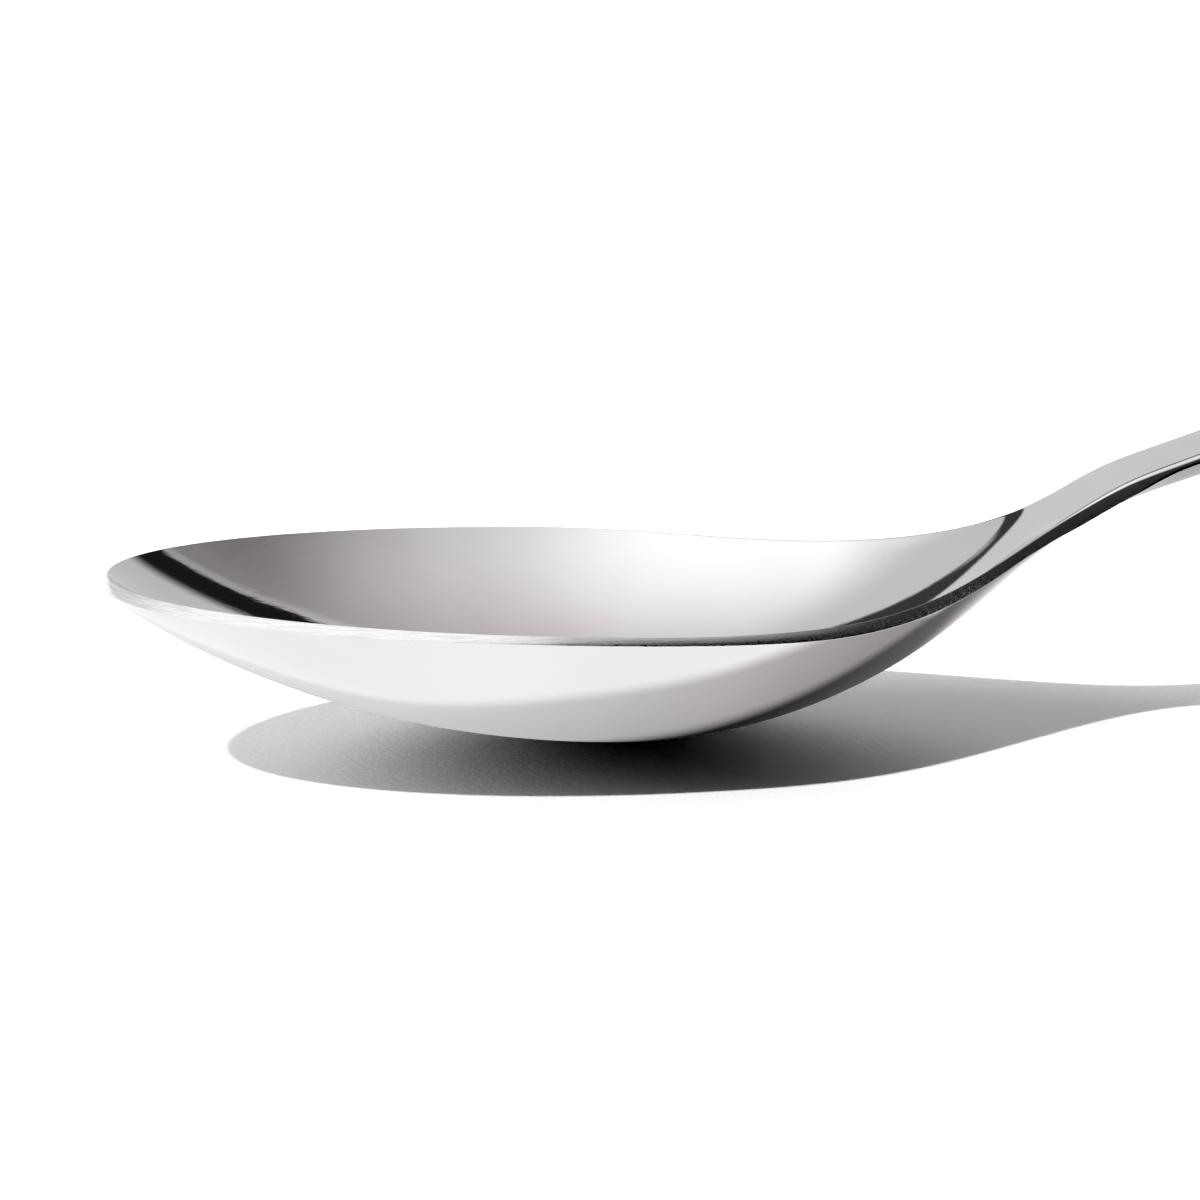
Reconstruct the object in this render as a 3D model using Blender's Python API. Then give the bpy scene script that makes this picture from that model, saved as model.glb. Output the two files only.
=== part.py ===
"""Serving spoon with a hollow steel handle.

Metres, +Z up. The spoon lies as it does on a table: the bowl and the tail of the handle
touch the plane z = 0, the handle runs along +X, and the origin is under the lowest place
of the bowl. Every shape follows one line, which starts at the tip, runs along the rim of
the bowl and carries on as the top of the stem. Distances named s are measured along it.
"""

import math

import bmesh
import bpy
import numpy as np

# Bowl, measured at the inner edge of the rim
BOWL_WIDTH = 0.0595
TIP_TO_WIDEST = 0.0515
WIDEST_TO_NECK = 0.0624
BOWL_DEPTH = 0.0149
DEEPEST_BEHIND_WIDEST = 0.0021
HEEL_BEFORE_NECK = 0.0074
TIP_WALL = 0.0014
BOWL_WALL = 0.0012
BOWL_REST_CUT = 0.0001
SIDES_FULL_FROM_TIP = 0.0345
RIM_TILT = math.radians(-3.25)

# Neck and stem
NECK_WIDTH = 0.0095
STEM_WIDTH = 0.0080
STEM_EDGE = 0.0021
STEM_THICKNESS = 0.0034
STEM_LENGTH = 0.0340
NECK_ANGLE = math.radians(33.8)
STEM_ANGLE = math.radians(16.8)
RISE_BEFORE_NECK = 0.0518
RISE_LENGTH = 0.0668
EASE_BEFORE_NECK = 0.0071
EASE_LENGTH = 0.0147
THICKENING_BEFORE_NECK = 0.0300
THICKENING_LENGTH = 0.0450
ARCH_BEFORE_COLLAR = 0.0120

# Tang and the pins that lock it
TANG_LENGTH = 0.0560
PIN_DIAMETER = 0.0030
FRONT_PIN_SETBACK = 0.0180
REAR_PIN_SETBACK = 0.0420

# Collar and hollow handle
COLLAR_LENGTH = 0.0085
COLLAR_LIP = 0.0010
COLLAR_CHAMFER = 0.0004
SPIGOT_LENGTH = 0.0060
HANDLE_LENGTH = 0.1420
MOUTH_WIDTH = 0.0125
MOUTH_HEIGHT = 0.0082
HANDLE_WIDTH = 0.0210
HANDLE_HEIGHT = 0.0120
MOUTH_TO_WIDEST = 0.1000
TAIL_ROUND = 0.0140
TAIL_REST_CUT = 0.0004
SHELL_WALL = 0.0009
CORE_LENGTH = 0.0850

# Fits: the gap between pieces that seat on each other
FIT_CLEARANCE = 0.0003

# Form of the curves, as plain ratios
WIDEST_BLEND = 0.25
SHOULDER_POWER = 1.88
SHOULDER_BLEND = 2.43
SHOULDER_SQUARENESS = 2.19
END_SECTION_POWER = 2.0
SIDE_SECTION_POWER = 3.15
KEEL_POWER = 0.81
KEEL_EASE = 0.0225
HEEL_POWER = 1.34
HANDLE_SECTION_POWER = 2.3

# Mesh density
TIP_STATIONS = 18
BOWL_STATIONS = 26
STEM_STATIONS = 12
TANG_STATIONS = 6
COLLAR_STATIONS = 6
SECTION_POINTS = 21
HANDLE_STATIONS = 20
TAIL_STATIONS = 7
HALF_RING_POINTS = 17
PIN_SIDES = 20
LINE_STEPS = 1600
TIP_START_ANGLE = 0.02
RATE_STEP = 1e-6
MERGE_DISTANCE = 1e-6
HALVINGS = 50
SHARP_ANGLE = math.radians(35.0)

# Places along the line, worked out from the sizes above
S_DEEPEST = TIP_TO_WIDEST + DEEPEST_BEHIND_WIDEST
S_NECK = TIP_TO_WIDEST + WIDEST_TO_NECK
S_HEEL = S_NECK - HEEL_BEFORE_NECK
S_COLLAR = S_NECK + STEM_LENGTH
S_MOUTH = S_COLLAR + COLLAR_LENGTH
S_SPIGOT_END = S_MOUTH + SPIGOT_LENGTH
S_TANG_END = S_MOUTH + TANG_LENGTH
S_ARCH = S_COLLAR - ARCH_BEFORE_COLLAR
S_END = S_MOUTH + HANDLE_LENGTH
STEM_MIDDLE = -0.5 * STEM_THICKNESS


def smooth(t):
    """Step from 0 to 1 with level ends and no jump in curvature."""
    t = np.clip(t, 0.0, 1.0)
    return t**3 * (t * (6.0 * t - 15.0) + 10.0)


def rate(function, s):
    """Slope of a function of s, by a small step that never passes the tip."""
    low = np.maximum(s - RATE_STEP, 0.0)
    return (function(s + RATE_STEP) - function(low)) / (s + RATE_STEP - low)


def slope_angle(s, arch_drop):
    """Angle of the line above the table: level rim, rising neck, stem, then the arched handle."""
    rise = smooth((s - S_NECK + RISE_BEFORE_NECK) / RISE_LENGTH)
    ease = smooth((s - S_NECK + EASE_BEFORE_NECK) / EASE_LENGTH)
    along = np.clip((s - S_ARCH) / (S_END - S_ARCH), 0.0, 1.0)
    arch = 1.0 - (1.0 - along) ** 2
    bent = RIM_TILT + (NECK_ANGLE - RIM_TILT) * rise + (STEM_ANGLE - NECK_ANGLE) * ease
    return bent - arch_drop * arch


class SpoonLine:
    """The line that all the pieces follow, in the XZ plane."""

    def __init__(self, arch_drop):
        self.s = np.linspace(0.0, S_END, LINE_STEPS)
        self.angle = slope_angle(self.s, arch_drop)
        middle = 0.5 * (self.angle[1:] + self.angle[:-1])
        step = np.diff(self.s)
        self.x = np.concatenate([[0.0], np.cumsum(step * np.cos(middle))])
        self.z = np.concatenate([[0.0], np.cumsum(step * np.sin(middle))])

    def angle_at(self, s):
        return np.interp(s, self.s, self.angle)

    def bend_at(self, s):
        return np.interp(s, self.s, np.gradient(self.angle, self.s))

    def place(self, s, y, n):
        """World points from s, the sideways distance y and the height n above the line."""
        angle = self.angle_at(s)
        x = np.interp(s, self.s, self.x) - n * np.sin(angle)
        z = np.interp(s, self.s, self.z) + n * np.cos(angle)
        return np.stack(np.broadcast_arrays(x, y, z), axis=-1)


def stem_half_width(s):
    """Half width of the neck, drawn in to the stem's width at the collar."""
    return 0.5 * (NECK_WIDTH + (STEM_WIDTH - NECK_WIDTH) * smooth((s - S_NECK) / STEM_LENGTH))


def half_width(s):
    """Half width of the rim: half an ellipse in front, then a shoulder that runs into the stem."""
    blend = WIDEST_BLEND * TIP_TO_WIDEST
    behind = smooth((s - TIP_TO_WIDEST + blend) / (2.0 * blend))
    length = TIP_TO_WIDEST + (WIDEST_TO_NECK - TIP_TO_WIDEST) * behind
    power = 0.5 + (SHOULDER_POWER - 0.5) * behind
    along = np.clip(np.abs(s - TIP_TO_WIDEST) / length, 0.0, 1.0)
    squareness = 2.0 + (SHOULDER_SQUARENESS - 2.0) * behind
    bowl = 0.5 * BOWL_WIDTH * (1.0 - along**squareness) ** power
    stem = behind * stem_half_width(s)
    return (bowl**SHOULDER_BLEND + stem**SHOULDER_BLEND) ** (1.0 / SHOULDER_BLEND)


def depth(s):
    """Depth of the hollow below the line, round at the tip and running out at the heel."""
    front = np.clip((S_DEEPEST - s) / S_DEEPEST, 0.0, 1.0)
    rear = np.clip((s - S_DEEPEST) / (S_HEEL - S_DEEPEST), 0.0, 1.0)
    foot = KEEL_EASE**KEEL_POWER
    keel = (1.0 - front**2 + KEEL_EASE) ** KEEL_POWER - foot
    return BOWL_DEPTH * keel / ((1.0 + KEEL_EASE) ** KEEL_POWER - foot) * (1.0 - rear**2) ** HEEL_POWER


def section_power(s):
    """How full the bowl's sides are: a plain bowl at tip and heel, with steeper sides between."""
    full = smooth(s / SIDES_FULL_FROM_TIP) - smooth((s - TIP_TO_WIDEST) / (S_HEEL - TIP_TO_WIDEST))
    return END_SECTION_POWER + (SIDE_SECTION_POWER - END_SECTION_POWER) * full


def thickness(s, across):
    """Metal thickness: the bowl's wall, growing to the stem's thin edge and thick middle."""
    sheet = TIP_WALL + (BOWL_WALL - TIP_WALL) * smooth(s / TIP_TO_WIDEST)
    grown = smooth((s - S_NECK + THICKENING_BEFORE_NECK) / THICKENING_LENGTH)
    edge = sheet + (STEM_EDGE - sheet) * grown
    middle = sheet + (STEM_THICKNESS - sheet) * grown
    return edge + (middle - edge) * (1.0 - across**2)


def head_rings(line, stations, grow=0.0):
    """Rings round the bowl, stem and tang: the upper face across, then the lower face back.

    The lower face lies one thickness from the upper one, square to it. grow swells the ring
    on every side, for the cut that the tang sits in.
    """
    s = stations[:, None]
    across = np.linspace(-1.0, 1.0, SECTION_POINTS)[None, :]
    wide = half_width(s)
    deep = depth(s)
    power = section_power(s)
    shape = np.abs(across) ** power
    n = -deep * (1.0 - shape)
    widening = rate(lambda t: half_width(t) ** 2, s) / (2.0 * wide**2)
    slope_s = -rate(depth, s) * (1.0 - shape) - deep * power * shape * widening
    slope_s = slope_s / (1.0 - n * line.bend_at(s))
    slope_y = deep * power * np.sign(across) * np.abs(across) ** (power - 1.0) / wide
    angle = line.angle_at(s)
    normal = np.stack(
        np.broadcast_arrays(
            -slope_s * np.cos(angle) - np.sin(angle),
            -slope_y,
            -slope_s * np.sin(angle) + np.cos(angle),
        ),
        axis=-1,
    )
    normal /= np.linalg.norm(normal, axis=-1, keepdims=True)
    swell = grow * np.sign(across)
    upper = line.place(s, wide * across + swell, n + grow)
    plain = line.place(s, wide * across + swell, n)
    lower = plain - normal * (thickness(s, across) + grow)[..., None]
    return np.concatenate([upper, lower[:, ::-1]], axis=1)


def head_stations():
    """Places of the rings, close together at the round tip."""
    tip = TIP_TO_WIDEST * (1.0 - np.cos(np.linspace(TIP_START_ANGLE, 0.5 * math.pi, TIP_STATIONS)))
    bowl = np.linspace(TIP_TO_WIDEST, S_NECK, BOWL_STATIONS)[1:]
    stem = np.linspace(S_NECK, S_COLLAR, STEM_STATIONS)[1:]
    tang = np.linspace(S_COLLAR, S_TANG_END, TANG_STATIONS)[1:]
    return np.concatenate([tip, bowl, stem, tang])


def handle_half_sizes(s, inset):
    """Half width and half height of the handle, drawn in by inset, with a domed tail."""
    grown = smooth((s - S_MOUTH) / MOUTH_TO_WIDEST)
    wide = 0.5 * (MOUTH_WIDTH + (HANDLE_WIDTH - MOUTH_WIDTH) * grown) - inset
    high = 0.5 * (MOUTH_HEIGHT + (HANDLE_HEIGHT - MOUTH_HEIGHT) * grown) - inset
    dome = np.clip(1.0 - (S_END - inset - s) / (TAIL_ROUND - inset), 0.0, 1.0)
    close = np.sqrt(1.0 - dome**2)
    return wide * close, high * close


def handle_stations(inset):
    """Places along the handle from the mouth to the tail, close together on the dome."""
    dome_start = S_END - TAIL_ROUND
    body = np.linspace(S_MOUTH, dome_start, HANDLE_STATIONS)
    turn = np.linspace(0.0, 0.5 * math.pi, TAIL_STATIONS)[1:]
    return np.concatenate([body, dome_start + (TAIL_ROUND - inset) * np.sin(turn)])


def oval(angle, wide, high):
    """Points y, n of the handle's squared oval at the angles given."""
    power = 2.0 / HANDLE_SECTION_POWER
    y = wide * np.sign(np.cos(angle)) * np.abs(np.cos(angle)) ** power
    n = high * np.sign(np.sin(angle)) * np.abs(np.sin(angle)) ** power
    return y, n


def oval_rings(line, s, wide, high, points):
    """Whole oval rings round the middle of the stem, in the same order as the head's rings."""
    top = np.linspace(math.pi, 0.0, points + 2)[1:-1]
    angle = np.concatenate([top, -top[::-1]])[None, :]
    y, n = oval(angle, wide[:, None], high[:, None])
    return line.place(s[:, None], y, n + STEM_MIDDLE)


def shell_rings(line, side, inset):
    """Half rings of one shell, from seam to seam; side is 1 for the upper and -1 for the lower."""
    s = handle_stations(inset)
    wide, high = handle_half_sizes(s, inset)
    angle = np.linspace(0.0, math.pi, HALF_RING_POINTS)[None, :]
    y, n = oval(angle, wide[:, None], high[:, None])
    return line.place(s[:, None], y, side * (n + 0.5 * FIT_CLEARANCE) + STEM_MIDDLE)


def lowest_handle_point(line):
    """Height of the lowest place under the handle."""
    s = handle_stations(0.0)
    high = handle_half_sizes(s, 0.0)[1]
    return line.place(s, 0.0, STEM_MIDDLE - 0.5 * FIT_CLEARANCE - high)[:, 2].min()


def resting_line():
    """The line set on the table: the bowl's lowest place at the origin, the arch bent to the tail."""
    bowl = head_rings(SpoonLine(0.0), np.linspace(0.0, S_NECK, LINE_STEPS)[1:]).reshape(-1, 3)
    lowest = bowl[bowl[:, 2].argmin()]
    low, high = 0.0, math.pi
    for _ in range(HALVINGS):
        drop = 0.5 * (low + high)
        line = SpoonLine(drop)
        line.x -= lowest[0]
        line.z -= lowest[2] + BOWL_REST_CUT
        if lowest_handle_point(line) > -TAIL_REST_CUT:
            low = drop
        else:
            high = drop
    return line


def steel(name, colour, roughness):
    material = bpy.data.materials.new(name)
    material.use_nodes = True
    shader = material.node_tree.nodes["Principled BSDF"]
    shader.inputs["Base Color"].default_value = (*colour, 1.0)
    shader.inputs["Roughness"].default_value = roughness
    shader.inputs["Metallic"].default_value = 1.0
    return material


def resin(name, colour):
    material = steel(name, colour, 0.6)
    material.node_tree.nodes["Principled BSDF"].inputs["Metallic"].default_value = 0.0
    return material


def add_object(name, mesh_data, material, parent):
    """Turn a bmesh into a named object with its faces pointing out and its round faces smooth."""
    bmesh.ops.recalc_face_normals(mesh_data, faces=mesh_data.faces)
    mesh = bpy.data.meshes.new(name)
    mesh_data.to_mesh(mesh)
    mesh_data.free()
    mesh.shade_smooth()
    mesh.set_sharp_from_angle(angle=SHARP_ANGLE)
    if material:
        mesh.materials.append(material)
    piece = bpy.data.objects.new(name, mesh)
    piece.parent = parent
    bpy.context.scene.collection.objects.link(piece)
    return piece


def skin(rings, looped=False):
    """Faces between rings of points. Looped rings close on themselves; others get flat ends."""
    mesh_data = bmesh.new()
    verts = [[mesh_data.verts.new(point) for point in ring] for ring in rings]
    pairs = list(zip(verts, verts[1:]))
    if looped:
        pairs.append((verts[-1], verts[0]))
    else:
        mesh_data.faces.new(verts[0])
        mesh_data.faces.new(verts[-1])
    for ring, following in pairs:
        for i in range(len(ring)):
            mesh_data.faces.new((ring[i - 1], ring[i], following[i], following[i - 1]))
    return mesh_data


def cut_flat(mesh_data):
    """Cut away what is below the table and close the cut with one flat face."""
    geometry = mesh_data.verts[:] + mesh_data.edges[:] + mesh_data.faces[:]
    cut = bmesh.ops.bisect_plane(
        mesh_data,
        geom=geometry,
        dist=MERGE_DISTANCE,
        plane_co=(0.0, 0.0, 0.0),
        plane_no=(0.0, 0.0, -1.0),
        clear_outer=True,
    )
    edges = [item for item in cut["geom_cut"] if isinstance(item, bmesh.types.BMEdge)]
    bmesh.ops.holes_fill(mesh_data, edges=edges)


def subtract(piece, cutter):
    modifier = piece.modifiers.new(cutter.name, "BOOLEAN")
    modifier.operation = "DIFFERENCE"
    modifier.solver = "EXACT"
    modifier.object = cutter


def as_cutter(piece):
    piece.hide_render = True
    piece.display_type = "WIRE"
    return piece


def pin_rings(line, s, radius, half_length):
    """Two circles, square to the line at s, at the ends of a pin."""
    turn = np.linspace(0.0, 2.0 * math.pi, PIN_SIDES, endpoint=False)
    angle = line.angle_at(s)
    along = np.array([np.cos(angle), 0.0, np.sin(angle)])
    aside = np.array([0.0, 1.0, 0.0])
    circle = radius * (np.cos(turn)[:, None] * along + np.sin(turn)[:, None] * aside)
    ends = [line.place(s, 0.0, STEM_MIDDLE + side * half_length) for side in (-1.0, 1.0)]
    return [circle + end for end in ends]


def make_pin(line, name, setback, material, parent):
    """One tang pin and the cutter for its holes."""
    s = S_MOUTH + setback
    high = handle_half_sizes(np.array([s]), SHELL_WALL + FIT_CLEARANCE)[1][0]
    radius = 0.5 * PIN_DIAMETER
    pin = add_object(name, skin(pin_rings(line, s, radius, high - FIT_CLEARANCE)), material, parent)
    hole_rings = pin_rings(line, s, radius + FIT_CLEARANCE, high + SHELL_WALL)
    hole = add_object(name + "_hole", skin(hole_rings), None, parent)
    return pin, as_cutter(hole)


def make_head(line, material, parent):
    """Bowl, neck, stem and tang in one piece."""
    mesh_data = skin(head_rings(line, head_stations()))
    cut_flat(mesh_data)
    return add_object("spoon_head", mesh_data, material, parent)


def make_collar(line, material, parent):
    """Collar with a slot for the stem and a spigot that plugs the handle's mouth."""
    seat = S_MOUTH - FIT_CLEARANCE
    front_wide = 0.5 * STEM_WIDTH + FIT_CLEARANCE + COLLAR_LIP
    front_high = 0.5 * STEM_THICKNESS + FIT_CLEARANCE + COLLAR_LIP
    spigot_inset = SHELL_WALL + FIT_CLEARANCE
    nose = S_COLLAR + COLLAR_CHAMFER
    face = np.concatenate([[S_COLLAR], np.linspace(nose, seat, COLLAR_STATIONS)])
    swell = np.sin(0.5 * math.pi * (face - S_COLLAR) / (seat - S_COLLAR))
    chamfer = np.where(face < nose, COLLAR_CHAMFER, 0.0)
    s = np.concatenate([face, [seat, S_SPIGOT_END]])
    wide = front_wide + (0.5 * MOUTH_WIDTH - front_wide) * swell - chamfer
    high = front_high + (0.5 * MOUTH_HEIGHT - front_high) * swell - chamfer
    wide = np.concatenate([wide, np.full(2, 0.5 * MOUTH_WIDTH - spigot_inset)])
    high = np.concatenate([high, np.full(2, 0.5 * MOUTH_HEIGHT - spigot_inset)])
    outer = oval_rings(line, s, wide, high, SECTION_POINTS)
    slot = head_rings(line, np.linspace(S_SPIGOT_END, S_COLLAR, COLLAR_STATIONS), FIT_CLEARANCE)
    return add_object("neck_collar", skin([*outer, *slot], looped=True), material, parent)


def make_shell(line, name, side, material, parent):
    """One pressed half of the handle: an open trough with a domed tail."""
    outer = shell_rings(line, side, 0.0)
    inner = shell_rings(line, side, SHELL_WALL)
    rings = np.concatenate([outer, inner[:, ::-1]], axis=1)
    mesh_data = skin(rings)
    bmesh.ops.remove_doubles(mesh_data, verts=mesh_data.verts, dist=MERGE_DISTANCE)
    if side < 0:
        cut_flat(mesh_data)
    return add_object(name, mesh_data, material, parent)


def make_core(line, holes, material, parent):
    """Set resin between the shells, with the tang's slot and the pin holes cut out of it."""
    start = S_SPIGOT_END + FIT_CLEARANCE
    s = np.linspace(start, start + CORE_LENGTH, HANDLE_STATIONS)
    wide, high = handle_half_sizes(s, SHELL_WALL + FIT_CLEARANCE)
    rings = oval_rings(line, s, wide, high, SECTION_POINTS)
    core = add_object("handle_core", skin(rings), material, parent)
    reach = np.linspace(S_COLLAR, S_TANG_END + FIT_CLEARANCE, TANG_STATIONS + 2)
    slot = add_object("tang_slot", skin(head_rings(line, reach, FIT_CLEARANCE)), None, parent)
    subtract(core, as_cutter(slot))
    for hole in holes:
        subtract(core, hole)
    return core


def main():
    for item in list(bpy.data.objects):
        bpy.data.objects.remove(item, do_unlink=True)
    parent = bpy.data.objects.new("serving_spoon", None)
    bpy.context.scene.collection.objects.link(parent)

    line = resting_line()
    polished = steel("polished_steel", (0.66, 0.655, 0.65), 0.12)
    collar_steel = steel("collar_steel", (0.64, 0.635, 0.63), 0.15)
    upper_steel = steel("upper_shell_steel", (0.62, 0.615, 0.61), 0.25)
    lower_steel = steel("lower_shell_steel", (0.62, 0.615, 0.61), 0.25)
    pin_steel = steel("pin_steel", (0.55, 0.55, 0.55), 0.4)
    filling = resin("handle_resin", (0.35, 0.31, 0.25))

    head = make_head(line, polished, parent)
    front = make_pin(line, "tang_pin_front", FRONT_PIN_SETBACK, pin_steel, parent)
    rear = make_pin(line, "tang_pin_rear", REAR_PIN_SETBACK, pin_steel, parent)
    holes = [front[1], rear[1]]
    for hole in holes:
        subtract(head, hole)
    make_collar(line, collar_steel, parent)
    make_shell(line, "handle_upper_shell", 1.0, upper_steel, parent)
    make_shell(line, "handle_lower_shell", -1.0, lower_steel, parent)
    make_core(line, holes, filling, parent)


main()
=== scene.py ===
# %% [markdown]
# # A polished steel serving spoon
# This lesson dresses a serving spoon that was already built as solid pieces: a pressed head with its stem and
# tang, a collar, two handle shells, a resin core and two pins. The solids hold the true sizes and places.
# What they lack is the fine surface: soft edges, a ground rim, polishing lines and the play of light on
# steel. A model could also be painted over by hand, but surfaces that follow the same formulas as the solids
# sit exactly where they should, so that way was chosen. First the solids are loaded.

# %% Load the imported spoon
import math

import bmesh
import bpy
import numpy as np
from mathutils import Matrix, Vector


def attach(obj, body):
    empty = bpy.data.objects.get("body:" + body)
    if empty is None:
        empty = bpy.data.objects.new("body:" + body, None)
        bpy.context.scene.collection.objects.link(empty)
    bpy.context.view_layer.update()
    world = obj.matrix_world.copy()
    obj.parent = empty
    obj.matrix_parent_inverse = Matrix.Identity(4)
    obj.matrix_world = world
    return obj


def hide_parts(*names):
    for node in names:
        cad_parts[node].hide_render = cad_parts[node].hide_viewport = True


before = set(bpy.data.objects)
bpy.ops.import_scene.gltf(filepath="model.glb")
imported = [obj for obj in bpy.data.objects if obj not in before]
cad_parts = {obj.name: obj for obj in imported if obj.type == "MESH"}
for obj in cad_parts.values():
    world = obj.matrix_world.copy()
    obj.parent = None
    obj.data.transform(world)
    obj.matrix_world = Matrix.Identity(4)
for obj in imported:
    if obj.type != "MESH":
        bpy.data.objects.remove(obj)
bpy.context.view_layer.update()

print("pieces in the frame:", ", ".join(sorted(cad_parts)))

# %% [markdown]
# ## The line that the spoon follows
# A spoon is pressed from flat sheet and then bent in one plane, so every section of it sits on one bent line:
# tip, rim, rising neck, stem, arched handle. The line could be drawn as a curve with handles, but then each
# change of a size would mean drawing it again. Here it is an angle that changes smoothly with the distance s
# from the tip, added up step by step. The sizes are metres. Where nothing else is said they repeat those of
# the solids.

# %% Sizes along the line
TIP_TO_WIDEST = 0.0515
WIDEST_TO_NECK = 0.0624
STEM_LENGTH = 0.0340
COLLAR_LENGTH = 0.0085
HANDLE_LENGTH = 0.1420
HEEL_BEFORE_NECK = 0.0074
DEEPEST_BEHIND_WIDEST = 0.0021
ARCH_BEFORE_COLLAR = 0.0120
RISE_BEFORE_NECK, RISE_LENGTH = 0.0518, 0.0668
EASE_BEFORE_NECK, EASE_LENGTH = 0.0071, 0.0147
RIM_TILT, NECK_ANGLE, STEM_ANGLE = np.radians([-3.25, 33.8, 16.8])

S_DEEPEST = TIP_TO_WIDEST + DEEPEST_BEHIND_WIDEST
S_NECK = TIP_TO_WIDEST + WIDEST_TO_NECK
S_HEEL = S_NECK - HEEL_BEFORE_NECK
S_COLLAR = S_NECK + STEM_LENGTH
S_MOUTH = S_COLLAR + COLLAR_LENGTH
S_ARCH = S_COLLAR - ARCH_BEFORE_COLLAR
S_END = S_MOUTH + HANDLE_LENGTH
print(f"the line is {S_END * 1000:.1f} mm long, the bowl takes {S_NECK * 1000:.1f} mm of it")


# %% The bent line itself
LINE_STEPS = 3000


def smooth(t):
    """Step from 0 to 1: six t to the fifth, less fifteen t to the fourth, plus ten t cubed."""
    t = np.clip(t, 0.0, 1.0)
    return t**3 * (t * (6.0 * t - 15.0) + 10.0)


def rate(function, s, step=1e-6):
    """Slope of a function of s, by a small step that never passes the tip."""
    low = np.maximum(s - step, 0.0)
    return (function(s + step) - function(low)) / (s + step - low)


class SpoonLine:
    """Angle over s: the rim's tilt, one smooth rise to the neck, one smooth ease to the stem, less the arch.

    The places x and z are the running sums of the angle's cosine and sine.
    """

    def __init__(self, arch_drop):
        self.s = np.linspace(0.0, S_END, LINE_STEPS)
        rise = smooth((self.s - S_NECK + RISE_BEFORE_NECK) / RISE_LENGTH)
        ease = smooth((self.s - S_NECK + EASE_BEFORE_NECK) / EASE_LENGTH)
        along = np.clip((self.s - S_ARCH) / (S_END - S_ARCH), 0.0, 1.0)
        bent = RIM_TILT + (NECK_ANGLE - RIM_TILT) * rise + (STEM_ANGLE - NECK_ANGLE) * ease
        self.angle = bent - arch_drop * (1.0 - (1.0 - along) ** 2)
        middle = 0.5 * (self.angle[1:] + self.angle[:-1])
        step = np.diff(self.s)
        self.x = np.concatenate([[0.0], np.cumsum(step * np.cos(middle))])
        self.z = np.concatenate([[0.0], np.cumsum(step * np.sin(middle))])

    def angle_at(self, s):
        """The line's angle above the level at s."""
        return np.interp(s, self.s, self.angle)

    def bend_at(self, s):
        """How fast the angle changes at s, in radians per metre."""
        return np.interp(s, self.s, np.gradient(self.angle, self.s))

    def place(self, s, y, n):
        """World points from s, the sideways distance y and the height n square to the line."""
        angle = self.angle_at(s)
        x = np.interp(s, self.s, self.x) - n * np.sin(angle)
        z = np.interp(s, self.s, self.z) + n * np.cos(angle)
        return np.stack(np.broadcast_arrays(x, y, z), axis=-1)


# %% [markdown]
# ## The bowl's outline, hollow and wall
# Three plain functions of s give the head its form. The half width is half an ellipse in front and a power
# curve behind, which melts into the stem. The depth is a rounded keel that runs out at the heel. The wall is
# thin sheet in the bowl and grows to a thick stem. Towards the rim it is thinner than in the solids, because
# the real edge was ground away at a slant, so its thickness is given at a few places and eased between them.
# All three could be splines through many points, but a formula with a few named sizes keeps the reflections
# clean, because steel shows every wobble.

# %% Outline, depth and wall as functions
BOWL_WIDTH = 0.0595
BOWL_DEPTH = 0.0149
TIP_WALL, BOWL_WALL = 0.00118, 0.0012
EDGE_PLACES = 0.0, 0.0420, 0.0500, 0.0820, 0.0970, 0.1100, 0.1130, 0.1220
EDGE_SIZES = 0.00118, 0.00077, 0.00077, 0.00114, 0.00106, 0.00158, 0.00158, 0.00095
BOWL_REST_CUT = 0.0001
NECK_WIDTH, STEM_WIDTH = 0.0095, 0.0080
STEM_THICKNESS = 0.0034
THICKENING_BEFORE_NECK, THICKENING_LENGTH = 0.0300, 0.0450
WIDEST_BLEND = 0.25
SHOULDER_POWER, SHOULDER_BLEND, SHOULDER_SQUARENESS = 1.88, 2.43, 2.19
END_SECTION_POWER, SIDE_SECTION_POWER = 2.0, 3.15
SIDES_FULL_FROM_TIP = 0.0345
KEEL_POWER, KEEL_EASE, HEEL_POWER = 0.81, 0.0225, 1.34
STEM_MIDDLE = -0.5 * STEM_THICKNESS
LEAST_WIDTH = 1e-9


def half_width(s):
    """Half width of the rim: half an ellipse in front, a power curve behind, melted into the stem."""
    blend = WIDEST_BLEND * TIP_TO_WIDEST
    behind = smooth((s - TIP_TO_WIDEST + blend) / (2.0 * blend))
    length = TIP_TO_WIDEST + (WIDEST_TO_NECK - TIP_TO_WIDEST) * behind
    power = 0.5 + (SHOULDER_POWER - 0.5) * behind
    along = np.clip(np.abs(s - TIP_TO_WIDEST) / length, 0.0, 1.0)
    squareness = 2.0 + (SHOULDER_SQUARENESS - 2.0) * behind
    bowl = 0.5 * BOWL_WIDTH * (1.0 - along**squareness) ** power
    stem = 0.5 * (NECK_WIDTH + (STEM_WIDTH - NECK_WIDTH) * smooth((s - S_NECK) / STEM_LENGTH))
    return (bowl**SHOULDER_BLEND + (behind * stem) ** SHOULDER_BLEND) ** (1.0 / SHOULDER_BLEND)


def depth(s):
    """Depth under the line: one less the distance from the deepest place squared, to a power each way."""
    front = np.clip((S_DEEPEST - s) / S_DEEPEST, 0.0, 1.0)
    rear = np.clip((s - S_DEEPEST) / (S_HEEL - S_DEEPEST), 0.0, 1.0)
    foot = KEEL_EASE**KEEL_POWER
    keel = (1.0 - front**2 + KEEL_EASE) ** KEEL_POWER - foot
    return BOWL_DEPTH * keel / ((1.0 + KEEL_EASE) ** KEEL_POWER - foot) * (1.0 - rear**2) ** HEEL_POWER


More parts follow.
